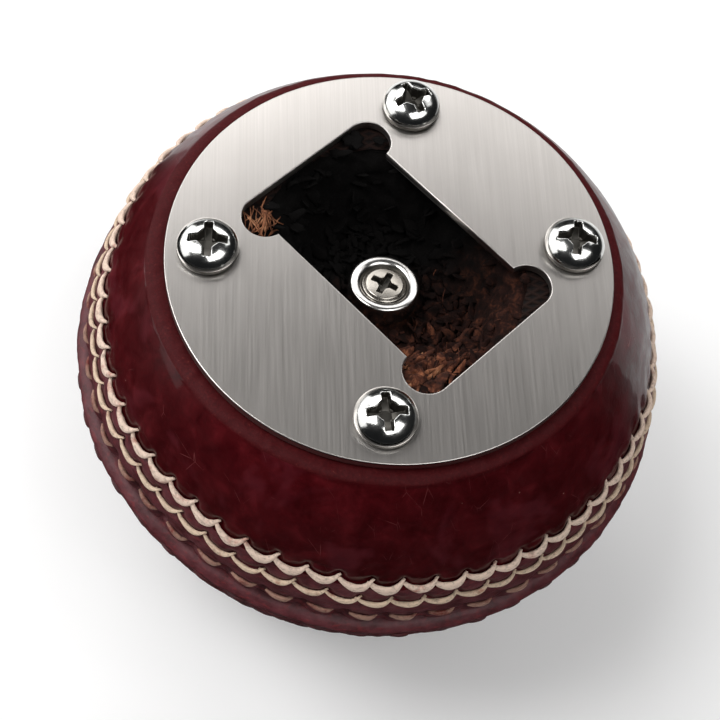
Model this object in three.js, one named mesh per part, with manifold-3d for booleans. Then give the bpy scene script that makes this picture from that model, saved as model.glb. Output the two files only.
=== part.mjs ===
// A cricket ball made into a bottle opener.
//
// The ball is a quilted one: a cork nucleus wound in five layers of wool yarn and cork, inside two
// leather cups that meet at a raised seam with three rows of stitches on each side. Its crown is
// sliced off flat. A round steel plate with a dog-bone opening is screwed over the cut, and a pocket
// carved in the core behind the opening holds a ring magnet that keeps the caps.
//
// Millimetres. +Z points out of the plate, +X runs along the opening. Heights are measured from the
// centre of the ball, and at the end the whole ball is raised to stand on its lowest point.

import * as THREE from 'three';
import { mergeVertices } from 'three/addons/utils/BufferGeometryUtils.js';
import Module from 'manifold-3d';

const wasm = await Module();
wasm.setup();

// Gap kept between pieces that touch.
const GAP = 0.3;

// Leather cups.
const BALL_RADIUS = 35.5;
const CROWN_HEIGHT = 32.1; // centre to the top of the upper cup, had it not been sliced
const CUP_BORE = 31.8;
const CUT_HEIGHT = 20.8; // centre to the flat cut

// Seam between the cups. It leans towards +X, and it lies a little above the centre.
const SEAM_TILT = THREE.MathUtils.degToRad(4.2);
const SEAM_HEIGHT = 1.5;
const SEAM_RISE = 0.5;
const SEAM_HALF_WIDTH = 10;
const JOINT_NOTCH = 0.8;

// Stitch rows: distance of each row from the joint, on both sides of it.
const ROW_OFFSETS = [8.6, 5.8, 2.9];
const THREAD_HALF_WIDTH = 0.55;
const THREAD_PROUD = 0.45;
const GROOVE_DEPTH = 0.55;
const GROOVE_FLOOR_HALF_WIDTH = 0.9;
const GROOVE_MOUTH_HALF_WIDTH = 1.2;

// Core, from the nucleus outwards: inner and outer radius of each layer.
const NUCLEUS_RADIUS = 8;
const CORE_LAYERS = [
  { name: 'inner_yarn_layer', inner: 8.3, outer: 12.3, kind: 'yarn' },
  { name: 'inner_cork_layer', inner: 12.6, outer: 15.6, kind: 'cork' },
  { name: 'middle_yarn_layer', inner: 15.9, outer: 21, kind: 'yarn' },
  { name: 'outer_cork_layer', inner: 21.3, outer: 26, kind: 'cork' },
  { name: 'outer_yarn_layer', inner: 26.3, outer: 31.2, kind: 'yarn' },
];

// Pocket carved in the core: a bowl with a round floor and an oval mouth.
const POCKET_FLOOR = 11.7;
const POCKET_FLOOR_RADIUS = 10.6;
const POCKET_MOUTH_HALF_LENGTH = 16.5;
const POCKET_MOUTH_WIDTH_RATIO = 0.8;

// Opener plate.
const PLATE_RADIUS = 25.6;
const PLATE_THICKNESS = 1.2;
const PLATE_BOTTOM = CUT_HEIGHT + GAP;
const PLATE_TOP = PLATE_BOTTOM + PLATE_THICKNESS;

// Opening in the plate. It is a little off the middle of the plate, and the pocket lies under it.
const OPENING_CENTRE = [-0.15, 0.9];
const OPENING_HALF_LENGTH = 15.8;
const OPENING_HALF_WIDTH = 8.6;
const EAR_RADIUS = 2.7;
const EAR_CENTRE_Y = 8.2;

// Plate screws: pan head, cross recess, self-tapping. The holes were marked out by hand.
const SCREW_POSITIONS = [[12.9, 16.9], [-13.4, 16.4], [-14.2, -15.1], [14.1, -14.8]];
const SCREW_HEAD_RADIUS = 3.5;
const SCREW_HEAD_HEIGHT = 2.3;
const SCREW_SHANK_RADIUS = 1.7;
const SCREW_LENGTH = 16;
const SCREW_TIP_LENGTH = 2.5;
const SCREW_HOLE_RADIUS = SCREW_SHANK_RADIUS + GAP;
const RECESS_REACH = 1.9;
const RECESS_HALF_WIDTH = 0.45;
const RECESS_DEPTH = 1.3;

// Ring magnet with its countersunk screw. The two lean back a little.
const MAGNET_CENTRE = [-0.3, 0.2];
const MAGNET_RADIUS = 4.2;
const MAGNET_THICKNESS = 3;
const MAGNET_TOP = PLATE_TOP - 6.5;
const MAGNET_LEAN = THREE.MathUtils.degToRad(8);
const MAGNET_LEAN_DIRECTION = THREE.MathUtils.degToRad(125);
const MAGNET_BORE_RADIUS = 1.9;
const COUNTERSINK_RADIUS = 3.2;
const COUNTERSINK_DEPTH = 1.6;
const MAGNET_SCREW_HEAD_RADIUS = 2.7;
const MAGNET_SCREW_HEAD_DEPTH = 1.4;
const MAGNET_RECESS_REACH = 1.5;
const MAGNET_RECESS_HALF_WIDTH = 0.4;
const MAGNET_RECESS_DEPTH = 1;
const MAGNET_SCREW_SHANK_RADIUS = 1.5;
const MAGNET_SCREW_LENGTH = 12;

// Fineness of the round pieces.
const CUP_SEGMENTS = 32;
const CUP_STEP = 10; // degrees between rings of the cups
const CORE_SEGMENTS = 20;
const CORE_STEPS = 10;
const THREAD_SEGMENTS = 64;
const PLATE_SEGMENTS = 64;
const HOLE_SEGMENTS = 16;
const SCREW_SEGMENTS = 16;
const MAGNET_SEGMENTS = 28;
const POCKET_SEGMENTS = 28;

const FINISHES = {
  leather: { color: 0x5a0a12, roughness: 0.32, metalness: 0 },
  thread: { color: 0xd8c7b4, roughness: 0.85, metalness: 0 },
  cork: { color: 0x7a4022, roughness: 0.95, metalness: 0 },
  yarn: { color: 0x6b2a1c, roughness: 0.95, metalness: 0 },
  steel: { color: 0xb9b7b2, roughness: 0.35, metalness: 1 },
  screw: { color: 0xc4c4c0, roughness: 0.15, metalness: 1 },
  magnet: { color: 0xd8d6d2, roughness: 0.12, metalness: 1 },
};

const ball = new THREE.Group();

function addMesh(name, geometry, finish) {
  const mesh = new THREE.Mesh(geometry, new THREE.MeshStandardMaterial(FINISHES[finish]));
  mesh.name = name;
  ball.add(mesh);
  return mesh;
}

// ---------------------------------------------------------------- geometry helpers

// Turns an outline of [radius, height] points about Z. The outline runs anticlockwise.
function lathe(outline, segments) {
  const points = outline.map(([radius, height]) => new THREE.Vector2(radius, height));
  const geometry = new THREE.LatheGeometry(points, segments);
  geometry.rotateX(Math.PI / 2);
  return weld(geometry);
}

// Keeps positions only, merges shared vertices and drops triangles that have no area.
function weld(geometry) {
  const bare = geometry.clone();
  bare.deleteAttribute('normal');
  bare.deleteAttribute('uv');
  const welded = mergeVertices(bare, 1e-4);
  const corners = welded.index.array;
  const kept = [];
  for (let i = 0; i < corners.length; i += 3) {
    const [a, b, c] = corners.slice(i, i + 3);
    if (a !== b && b !== c && c !== a) {
      kept.push(a, b, c);
    }
  }
  welded.setIndex(kept);
  return welded;
}

function toSolid(geometry) {
  const welded = weld(geometry);
  return new wasm.Manifold(new wasm.Mesh({
    numProp: 3,
    vertProperties: new Float32Array(welded.attributes.position.array),
    triVerts: new Uint32Array(welded.index.array),
  }));
}

function toGeometry(solid) {
  const mesh = solid.getMesh();
  const geometry = new THREE.BufferGeometry();
  geometry.setAttribute('position', new THREE.BufferAttribute(mesh.vertProperties, 3));
  geometry.setIndex(new THREE.BufferAttribute(mesh.triVerts, 1));
  return geometry;
}

function cut(geometry, tools) {
  const remains = tools.reduce((solid, tool) => solid.subtract(toSolid(tool)), toSolid(geometry));
  return toGeometry(remains);
}

function circle(radius, count, x = 0, y = 0) {
  return Array.from({ length: count }, (_, i) => {
    const angle = (2 * Math.PI * i) / count;
    return new THREE.Vector2(x + radius * Math.cos(angle), y + radius * Math.sin(angle));
  });
}

// Points of an arc about the origin, from one angle in degrees to another, down from the pole.
function arc(radius, height, from, to, step) {
  const count = Math.max(1, Math.round(Math.abs(to - from) / step));
  return Array.from({ length: count + 1 }, (_, i) => {
    const angle = THREE.MathUtils.degToRad(from + ((to - from) * i) / count);
    return [radius * Math.sin(angle), height * Math.cos(angle)];
  });
}

// A round tool that clears a screw, with its axis through (x, y).
function drill(radius, bottom, top, x = 0, y = 0) {
  const geometry = new THREE.CylinderGeometry(radius, radius, top - bottom, HOLE_SEGMENTS);
  geometry.rotateX(Math.PI / 2);
  geometry.translate(x, y, (bottom + top) / 2);
  return geometry;
}

// Leans a piece of the magnet set about the middle of the magnet's upper face and puts it in place.
function lean(geometry) {
  const axis = new THREE.Vector3(-Math.sin(MAGNET_LEAN_DIRECTION), Math.cos(MAGNET_LEAN_DIRECTION), 0);
  geometry.translate(0, 0, -MAGNET_TOP);
  geometry.applyMatrix4(new THREE.Matrix4().makeRotationAxis(axis, MAGNET_LEAN));
  geometry.translate(...MAGNET_CENTRE, MAGNET_TOP);
  return geometry;
}

// ---------------------------------------------------------------- cutting tools

const TOOL_SIZE = 100;

function crownTool() {
  const geometry = new THREE.BoxGeometry(TOOL_SIZE, TOOL_SIZE, TOOL_SIZE);
  geometry.translate(0, 0, CUT_HEIGHT + TOOL_SIZE / 2);
  return geometry;
}

function pocketTool() {
  const geometry = lathe([
    [0, POCKET_FLOOR],
    [POCKET_FLOOR_RADIUS, POCKET_FLOOR],
    [POCKET_MOUTH_HALF_LENGTH, CUT_HEIGHT],
    [POCKET_MOUTH_HALF_LENGTH, CUT_HEIGHT + 1],
    [0, CUT_HEIGHT + 1],
  ], POCKET_SEGMENTS);
  const { position } = geometry.attributes;
  for (let i = 0; i < position.count; i += 1) {
    const rise = Math.min(1, (position.getZ(i) - POCKET_FLOOR) / (CUT_HEIGHT - POCKET_FLOOR));
    const narrowing = 1 - rise * (1 - POCKET_MOUTH_WIDTH_RATIO);
    position.setX(i, position.getX(i) + rise * OPENING_CENTRE[0]);
    position.setY(i, position.getY(i) * narrowing + rise * OPENING_CENTRE[1]);
  }
  return geometry;
}

function plateScrewDrills() {
  const bottom = PLATE_TOP - SCREW_LENGTH - GAP;
  return SCREW_POSITIONS.map(([x, y]) => drill(SCREW_HOLE_RADIUS, bottom, CUT_HEIGHT + 1, x, y));
}

function magnetScrewDrill() {
  const bottom = MAGNET_TOP - MAGNET_SCREW_LENGTH - 2 * GAP;
  return lean(drill(MAGNET_SCREW_SHANK_RADIUS + GAP, bottom, MAGNET_TOP));
}

// ---------------------------------------------------------------- leather cups and their stitches

// Radius of the smooth leather at a height above the seam's joint, in the seam's own frame.
function leatherRadius(offset) {
  const height = SEAM_HEIGHT + offset;
  const halfHeight = height > 0 ? CROWN_HEIGHT : BALL_RADIUS;
  const smooth = BALL_RADIUS * Math.sqrt(1 - (height / halfHeight) ** 2);
  const share = Math.min(1, Math.abs(offset) / SEAM_HALF_WIDTH);
  return smooth + SEAM_RISE * (1 - share ** 2);
}

// Outline of one side of the seam band from its edge in to the joint. side is 1 above, -1 below.
function seamOutline(side) {
  const outline = [];
  for (const row of ROW_OFFSETS) {
    const steps = [
      [row + GROOVE_MOUTH_HALF_WIDTH, 0],
      [row + GROOVE_FLOOR_HALF_WIDTH, GROOVE_DEPTH],
      [row - GROOVE_FLOOR_HALF_WIDTH, GROOVE_DEPTH],
      [row - GROOVE_MOUTH_HALF_WIDTH, 0],
    ];
    for (const [offset, depth] of steps) {
      outline.push([leatherRadius(side * offset) - depth, SEAM_HEIGHT + side * offset]);
    }
  }
  const lip = GAP / 2;
  outline.push([leatherRadius(side * lip) - JOINT_NOTCH, SEAM_HEIGHT + side * lip]);
  outline.push([Math.sqrt(CUP_BORE ** 2 - (SEAM_HEIGHT + side * lip) ** 2), SEAM_HEIGHT + side * lip]);
  return outline;
}

// Angle from the pole, in degrees, at a height on a curve of the given half height.
function poleAngle(height, halfHeight) {
  return THREE.MathUtils.radToDeg(Math.acos(height / halfHeight));
}

function tiltToPlate(geometry) {
  geometry.rotateY(SEAM_TILT);
  return geometry;
}

function upperCup() {
  const bandTop = poleAngle(SEAM_HEIGHT + SEAM_HALF_WIDTH, CROWN_HEIGHT);
  const joint = poleAngle(SEAM_HEIGHT + GAP / 2, CUP_BORE);
  const outline = [
    ...arc(BALL_RADIUS, CROWN_HEIGHT, 0, bandTop, CUP_STEP),
    ...seamOutline(1),
    ...arc(CUP_BORE, CUP_BORE, joint, 0, CUP_STEP).slice(1),
  ];
  return cut(tiltToPlate(lathe(outline.reverse(), CUP_SEGMENTS)), [crownTool()]);
}

function lowerCup() {
  const bandBottom = poleAngle(SEAM_HEIGHT - SEAM_HALF_WIDTH, BALL_RADIUS);
  const joint = poleAngle(SEAM_HEIGHT - GAP / 2, CUP_BORE);
  const outline = [
    ...arc(BALL_RADIUS, BALL_RADIUS, 180, bandBottom, CUP_STEP),
    ...seamOutline(-1),
    ...arc(CUP_BORE, CUP_BORE, joint, 180, CUP_STEP).slice(1),
  ];
  return tiltToPlate(lathe(outline, CUP_SEGMENTS));
}

// One row of stitches as a closed band of thread. offset is signed, from the joint.
function stitchRow(offset) {
  const height = SEAM_HEIGHT + offset;
  const foot = leatherRadius(offset) - GROOVE_DEPTH + GAP;
  const top = leatherRadius(offset) + THREAD_PROUD;
  const outline = [
    [foot, height - THREAD_HALF_WIDTH],
    [top, height - THREAD_HALF_WIDTH / 2],
    [top, height + THREAD_HALF_WIDTH / 2],
    [foot, height + THREAD_HALF_WIDTH],
    [foot, height - THREAD_HALF_WIDTH],
  ];
  return tiltToPlate(lathe(outline, THREAD_SEGMENTS));
}

addMesh('upper_leather_cup', upperCup(), 'leather');
addMesh('lower_leather_cup', lowerCup(), 'leather');
const rowsFromTheTop = [...ROW_OFFSETS, ...ROW_OFFSETS.map((offset) => -offset).reverse()];
rowsFromTheTop.forEach((offset, i) => addMesh(`stitch_row_${i + 1}`, stitchRow(offset), 'thread'));

// ---------------------------------------------------------------- core

function sphereOutline(radius) {
  return arc(radius, radius, 180, 0, 180 / CORE_STEPS);
}

function coreLayer({ inner, outer }) {
  const shell = toSolid(lathe(sphereOutline(outer), CORE_SEGMENTS))
    .subtract(toSolid(lathe(sphereOutline(inner), CORE_SEGMENTS)));
  const tools = [crownTool(), pocketTool(), magnetScrewDrill(), ...plateScrewDrills()];
  return toGeometry(tools.reduce((solid, tool) => solid.subtract(toSolid(tool)), shell));
}

const nucleus = lathe(sphereOutline(NUCLEUS_RADIUS), CORE_SEGMENTS);
addMesh('core_nucleus', cut(nucleus, [magnetScrewDrill()]), 'cork');
for (const layer of CORE_LAYERS) {
  addMesh(layer.name, coreLayer(layer), layer.kind);
}

// ---------------------------------------------------------------- opener plate

// The opening: a long slot whose four corners swell into round ears.
function openingPath() {
  const path = new THREE.Path();
  const meet = Math.asin((OPENING_HALF_WIDTH - EAR_CENTRE_Y) / EAR_RADIUS);
  const earX = OPENING_HALF_LENGTH - EAR_RADIUS;
  const [x, y] = OPENING_CENTRE;
  path.absarc(x + earX, y + EAR_CENTRE_Y, EAR_RADIUS, 0, Math.PI - meet);
  path.absarc(x - earX, y + EAR_CENTRE_Y, EAR_RADIUS, meet, Math.PI);
  path.absarc(x - earX, y - EAR_CENTRE_Y, EAR_RADIUS, Math.PI, 2 * Math.PI - meet);
  path.absarc(x + earX, y - EAR_CENTRE_Y, EAR_RADIUS, Math.PI + meet, 2 * Math.PI);
  path.closePath();
  return path;
}

function openerPlate() {
  const shape = new THREE.Shape(circle(PLATE_RADIUS, PLATE_SEGMENTS));
  shape.holes.push(openingPath());
  for (const [x, y] of SCREW_POSITIONS) {
    shape.holes.push(new THREE.Path(circle(SCREW_HOLE_RADIUS, HOLE_SEGMENTS, x, y)));
  }
  const geometry = new THREE.ExtrudeGeometry(shape, {
    depth: PLATE_THICKNESS,
    bevelEnabled: false,
    curveSegments: 10,
  });
  geometry.translate(0, 0, PLATE_BOTTOM);
  return weld(geometry);
}

addMesh('opener_plate', openerPlate(), 'steel');

// ---------------------------------------------------------------- screws and magnet

// Two crossed bars that cut a recess down from a height.
function crossRecess(top, reach, halfWidth, depth) {
  return [[reach, halfWidth], [halfWidth, reach]].map(([x, y]) => {
    const bar = new THREE.BoxGeometry(2 * x, 2 * y, 2 * depth);
    bar.translate(0, 0, top);
    return bar;
  });
}

// A pan head on a plain shank, with its head resting at height 0.
function plateScrew() {
  const outline = [
    [0, -SCREW_LENGTH],
    [SCREW_SHANK_RADIUS, -SCREW_LENGTH + SCREW_TIP_LENGTH],
    [SCREW_SHANK_RADIUS, 0],
    [SCREW_HEAD_RADIUS, 0],
    ...arc(SCREW_HEAD_RADIUS, SCREW_HEAD_HEIGHT, 75, 0, 25),
  ];
  const recess = crossRecess(SCREW_HEAD_HEIGHT, RECESS_REACH, RECESS_HALF_WIDTH, RECESS_DEPTH);
  return cut(lathe(outline, SCREW_SEGMENTS), recess);
}

SCREW_POSITIONS.forEach(([x, y], i) => {
  const screw = addMesh(`plate_screw_${i + 1}`, plateScrew(), 'screw');
  screw.position.set(x, y, PLATE_TOP + GAP);
});

function ringMagnet() {
  const bottom = MAGNET_TOP - MAGNET_THICKNESS;
  return lean(lathe([
    [MAGNET_BORE_RADIUS, bottom],
    [MAGNET_RADIUS, bottom],
    [MAGNET_RADIUS, MAGNET_TOP],
    [COUNTERSINK_RADIUS, MAGNET_TOP],
    [MAGNET_BORE_RADIUS, MAGNET_TOP - COUNTERSINK_DEPTH],
    [MAGNET_BORE_RADIUS, bottom],
  ], MAGNET_SEGMENTS));
}

function magnetScrew() {
  const tip = MAGNET_TOP - MAGNET_SCREW_LENGTH;
  const outline = [
    [0, tip],
    [MAGNET_SCREW_SHANK_RADIUS, tip + SCREW_TIP_LENGTH],
    [MAGNET_SCREW_SHANK_RADIUS, MAGNET_TOP - MAGNET_SCREW_HEAD_DEPTH],
    [MAGNET_SCREW_HEAD_RADIUS, MAGNET_TOP],
    [0, MAGNET_TOP],
  ];
  const recess = crossRecess(
    MAGNET_TOP,
    MAGNET_RECESS_REACH,
    MAGNET_RECESS_HALF_WIDTH,
    MAGNET_RECESS_DEPTH,
  );
  return lean(cut(lathe(outline, SCREW_SEGMENTS), recess));
}

addMesh('cap_magnet', ringMagnet(), 'magnet');
addMesh('magnet_screw', magnetScrew(), 'screw');

// ---------------------------------------------------------------- stand the ball on its lowest point

ball.position.z = -new THREE.Box3().setFromObject(ball).min.z;

const group = new THREE.Group();
group.add(ball);

export default group;
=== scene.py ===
"""A cricket ball made into a bottle opener: the visible pieces, their materials, light and camera.

Shapes are worked out in millimetres from the centre of the ball, as heights and radii, and add_mesh
turns them into metres in the frame. Phi is the azimuth in radians, anticlockwise seen from the plate.
"""
import math

import bmesh
import bpy
import numpy as np
from mathutils import Euler, Matrix, Vector

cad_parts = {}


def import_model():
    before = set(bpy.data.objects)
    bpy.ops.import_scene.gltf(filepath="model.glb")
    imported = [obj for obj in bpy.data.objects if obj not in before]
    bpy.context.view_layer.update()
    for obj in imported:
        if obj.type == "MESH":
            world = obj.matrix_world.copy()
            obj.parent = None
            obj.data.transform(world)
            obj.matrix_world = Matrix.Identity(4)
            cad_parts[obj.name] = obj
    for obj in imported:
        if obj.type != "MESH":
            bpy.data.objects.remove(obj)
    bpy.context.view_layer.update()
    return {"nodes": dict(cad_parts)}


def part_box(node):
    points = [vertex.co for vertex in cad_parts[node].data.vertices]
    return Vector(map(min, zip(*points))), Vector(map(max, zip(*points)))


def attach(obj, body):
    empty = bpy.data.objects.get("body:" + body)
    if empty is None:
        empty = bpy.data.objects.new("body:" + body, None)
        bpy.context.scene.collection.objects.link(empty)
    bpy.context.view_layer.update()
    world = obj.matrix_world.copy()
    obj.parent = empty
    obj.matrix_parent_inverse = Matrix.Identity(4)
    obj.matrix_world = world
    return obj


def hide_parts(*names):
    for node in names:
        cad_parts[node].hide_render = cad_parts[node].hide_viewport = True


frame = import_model()

MM = 0.001
TAU = 2 * math.pi
rng = np.random.default_rng(26)

# ------------ sizes taken from the frame


def node_size(name):
    """(centre, size) of a CAD node in millimetres, in the row frame."""
    low, high = (np.array(corner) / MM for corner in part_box(name))
    return (low + high) / 2, high - low


_, nucleus_size = node_size("core_nucleus")
BALL_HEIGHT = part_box("core_nucleus")[0].z / MM + nucleus_size[0] / 2
plate_centre, plate_size = node_size("opener_plate")
PLATE_RADIUS = plate_size[0] / 2
PLATE_BOTTOM = plate_centre[2] - plate_size[2] / 2 - BALL_HEIGHT
PLATE_TOP = PLATE_BOTTOM + plate_size[2]

# ------------ the same sizes as the CAD's

GAP = 0.3
BALL_RADIUS = 35.5
CROWN_HEIGHT = 32.1
CUP_BORE = 31.8
CUT_HEIGHT = PLATE_BOTTOM - GAP
SEAM_TILT = math.radians(4.2)
SEAM_HEIGHT = 1.5
SEAM_RISE = 0.5
SEAM_HALF_WIDTH = 10
ROW_OFFSETS = (8.6, 5.8, 2.9)

OPENING_CENTRE = (-0.15, 0.9)
OPENING_HALF_LENGTH = 15.8
OPENING_HALF_WIDTH = 8.6
EAR_RADIUS = 2.7
EAR_CENTRE_Y = 8.2

POCKET_FLOOR = 11.7
MOUTH_HALF_LENGTH = 16.5
MOUTH_WIDTH_RATIO = 0.8

# ------------ mesh helpers


def new_object(name, data):
    thing = bpy.data.objects.new(name, data)
    bpy.context.scene.collection.objects.link(thing)
    return thing


def place_piece(name, mesh, replaces=()):
    """Puts a mesh in the scene, as a piece that rides on the one body."""
    piece = new_object(name, mesh)
    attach(piece, "root")
    if replaces:
        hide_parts(*replaces)


def add_mesh(name, points, faces, materials, slots, replaces=()):
    """Makes a smooth piece from points in ball millimetres. slots has each face's material, or None."""
    placed = (np.asarray(points, float) + (0, 0, BALL_HEIGHT)) * MM
    mesh = bpy.data.meshes.new(name)
    mesh.from_pydata(placed.tolist(), [], [tuple(face) for face in faces])
    for material in materials:
        mesh.materials.append(material)
    if slots is not None:
        mesh.polygons.foreach_set("material_index", np.asarray(slots, dtype=np.int32))
    mesh.polygons.foreach_set("use_smooth", np.full(len(mesh.polygons), True))
    mesh.validate()
    mesh.update()
    place_piece(name, mesh, replaces)


def grid_faces(rows, columns, close_rows=False, close_columns=True):
    """Quads of a grid of points held row by row. A closed direction wraps round."""
    row = np.arange(rows if close_rows else rows - 1)
    column = np.arange(columns if close_columns else columns - 1)
    i, j = np.meshgrid(row, column, indexing="ij")
    here, below = i * columns, (i + 1) % rows * columns
    after = (j + 1) % columns
    corners = (here + j, here + after, below + after, below + j)
    return np.stack([corner.ravel() for corner in corners], axis=1)


def capped_sheet(rings, first_pole, last_pole):
    """(points, faces) of a closed form: rings of points, and a pole at each end.

    Its faces come in order: between the rings, then to the first pole, then to the last.
    """
    columns = len(rings[0])
    last = (len(rings) - 1) * columns
    j = np.arange(columns)
    after = (j + 1) % columns
    first_fan = np.column_stack([np.full(columns, last + columns), j, after])
    last_fan = np.column_stack([np.full(columns, last + columns + 1), last + after, last + j])
    faces = grid_faces(len(rings), columns)[:, ::-1].tolist() + first_fan.tolist() + last_fan.tolist()
    return np.concatenate([*rings, [first_pole], [last_pole]]), faces


def around(radius, angle, height):
    """Points round the vertical. Any of the three may be an array."""
    return np.stack(np.broadcast_arrays(radius * np.cos(angle), radius * np.sin(angle), height), axis=-1)


def turned(points, angle):
    """Points turned about the vertical, anticlockwise seen from the plate."""
    c, s = math.cos(angle), math.sin(angle)
    return points @ np.array([[c, s, 0], [-s, c, 0], [0, 0, 1]])


def swept(paths, ups, half_widths, half_heights, sides, lobes=0, turns=0.0, depth=0.0):
    """Tubes with a flattened section along many paths at once, as (points, faces).

    paths and ups are (count, steps, 3), half_widths and half_heights (count, steps). lobes, turns and
    depth cut twisted flutes into the section, as between the plies of a thread.
    """
    count, steps = paths.shape[:2]
    along = np.gradient(paths, axis=1)
    along /= np.maximum(np.linalg.norm(along, axis=2, keepdims=True), 1e-9)
    aside = np.cross(ups, along)
    aside /= np.maximum(np.linalg.norm(aside, axis=2, keepdims=True), 1e-9)
    up = np.cross(along, aside)
    angle = np.arange(sides) * TAU / sides
    twist = np.linspace(0, turns * TAU, steps)[:, None]
    flute = 1 - depth * np.abs(np.sin((angle[None, :] * lobes + twist) / 2))
    across = (half_widths[:, :, None] * np.cos(angle) * flute)[..., None] * aside[:, :, None, :]
    upward = (half_heights[:, :, None] * np.sin(angle) * flute)[..., None] * up[:, :, None, :]
    points = paths[:, :, None, :] + across + upward
    quads = grid_faces(steps, sides)
    first, last = np.arange(sides)[::-1], np.arange(sides) + (steps - 1) * sides
    faces = []
    for i in range(count):
        start = i * steps * sides
        faces.extend((quads + start).tolist())
        faces.append((first + start).tolist())
        faces.append((last + start).tolist())
    return points.reshape(-1, 3), faces


def hash_noise(cells, seed):
    """A repeatable random value from 0 to 1 for each whole-numbered cell."""
    value = np.sin(cells @ np.array([127.1, 311.7, 74.7]) + seed * 19.19) * 43758.5453
    return value - np.floor(value)


def value_noise(points, size, seed=0.0):
    """Smooth noise from -1 to 1 with features about size apart, at any array of 3-D points."""
    scaled = np.asarray(points, float) / size
    cell = np.floor(scaled)
    share = scaled - cell
    share = share * share * (3 - 2 * share)
    total = np.zeros(scaled.shape[:-1])
    for dx in (0, 1):
        for dy in (0, 1):
            for dz in (0, 1):
                weight = 1.0
                for axis, step in enumerate((dx, dy, dz)):
                    weight = weight * (share[..., axis] if step else 1 - share[..., axis])
                total += weight * hash_noise(cell + (dx, dy, dz), seed)
    return 2 * total - 1


def smoothstep(low, high, value):
    share = np.clip((value - low) / (high - low), 0, 1)
    return share * share * (3 - 2 * share)


def tilt(points):
    """Turns points from the seam's own frame to the ball's."""
    c, s = math.cos(SEAM_TILT), math.sin(SEAM_TILT)
    x, y, z = np.moveaxis(np.asarray(points, float), -1, 0)
    return np.stack([x * c + z * s, y, z * c - x * s], axis=-1)


# ------------ material helpers


class Shader:
    """A material with a Principled shader and short ways to add nodes to it."""

    def __init__(self, name, **values):
        self.material = bpy.data.materials.new(name)
        self.material.use_nodes = True
        self.nodes = self.material.node_tree.nodes
        self.links = self.material.node_tree.links
        self.surface = self.nodes["Principled BSDF"]
        self.coords = self.add("ShaderNodeTexCoord").outputs["Object"]
        for socket, value in values.items():
            self.surface.inputs[socket.replace("_", " ")].default_value = value

    def paint(self, output, socket="Base Color"):
        self.join(output, self.surface.inputs[socket])

    def add(self, kind, **settings):
        node = self.nodes.new(kind)
        for key, value in settings.items():
            if key in node.inputs:
                node.inputs[key].default_value = value
            else:
                setattr(node, key, value)
        return node

    def join(self, output, target):
        self.links.new(output, target)

    def moved(self, scale=(1, 1, 1), turn=(0, 0, 0)):
        """Object coordinates, turned and then scaled."""
        turned = self.add("ShaderNodeMapping", vector_type="POINT")
        turned.inputs["Rotation"].default_value = turn
        self.join(self.coords, turned.inputs["Vector"])
        scaled = self.add("ShaderNodeMapping", vector_type="POINT")
        scaled.inputs["Scale"].default_value = scale
        self.join(turned.outputs["Vector"], scaled.inputs["Vector"])
        return scaled.outputs["Vector"]

    def noise(self, scale, detail=4, rough=0.55, vector=None, distortion=0.0):
        """Clouds. In this and the next two, scale is features per millimetre."""
        node = self.add("ShaderNodeTexNoise", Scale=scale / MM, Detail=detail, Roughness=rough,
                        Distortion=distortion)
        self.join(vector or self.coords, node.inputs["Vector"])
        return node.outputs["Fac"]

    def cells(self, scale, feature="F1", vector=None):
        node = self.add("ShaderNodeTexVoronoi", feature=feature, Scale=scale / MM)
        self.join(vector or self.coords, node.inputs["Vector"])
        return node.outputs["Distance"]

    def waves(self, scale, turn):
        """Wavy bands, turned by Euler angles."""
        node = self.add("ShaderNodeTexWave", Scale=scale / MM, Distortion=1.5, Detail=3.0)
        self.join(self.moved(turn=turn), node.inputs["Vector"])
        return node.outputs["Fac"]

    def ramp(self, value, *stops):
        """Colour ramp. Each stop is (position, colour or grey value)."""
        node = self.add("ShaderNodeValToRGB")
        elements = node.color_ramp.elements
        while len(elements) < len(stops):
            elements.new(0.5)
        for element, (position, colour) in zip(elements, stops):
            element.position = position
            grey = isinstance(colour, (int, float))
            element.color = (colour, colour, colour, 1) if grey else (*colour, 1)
        self.join(value, node.inputs["Fac"])
        return node.outputs["Color"]

    def feed(self, node, key, value):
        """Joins an output to a node's input, or sets the input to a plain value."""
        if isinstance(value, bpy.types.NodeSocket):
            self.join(value, node.inputs[key])
        else:
            node.inputs[key].default_value = value

    def mix(self, share, first, second):
        """Mixes two colours. Each is an output or a plain colour."""
        node = self.add("ShaderNodeMix", data_type="RGBA")
        self.feed(node, 0, share)
        for key, colour in ((6, first), (7, second)):
            self.feed(node, key, (*colour, 1) if isinstance(colour, tuple) else colour)
        return node.outputs[2]

    def maths(self, operation, first, second):
        node = self.add("ShaderNodeMath", operation=operation)
        self.feed(node, 0, first)
        self.feed(node, 1, second)
        return node.outputs[0]

    def bump(self, height, strength, distance):
        """Adds a bump over what is there. distance is in millimetres."""
        node = self.add("ShaderNodeBump", Strength=strength, Distance=distance * MM)
        self.join(height, node.inputs["Height"])
        normal = self.surface.inputs["Normal"]
        if normal.links:
            self.join(normal.links[0].from_socket, node.inputs["Normal"])
        self.join(node.outputs["Normal"], normal)


# ------------ materials


def leather_scratches(s):
    """Thin scratches, in broken lengths, as a value from 0 to 1."""
    drawn_out = s.moved(scale=(1, 4, 1.5), turn=(0.4, 0.9, 0.5))
    lines = s.cells(0.14, feature="DISTANCE_TO_EDGE", vector=drawn_out)
    broken = s.ramp(s.noise(0.30, detail=2), (0.56, 0.0), (0.64, 1.0))
    return s.maths("MULTIPLY", s.ramp(lines, (0.0, 1.0), (0.006, 0.0)), broken)


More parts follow.
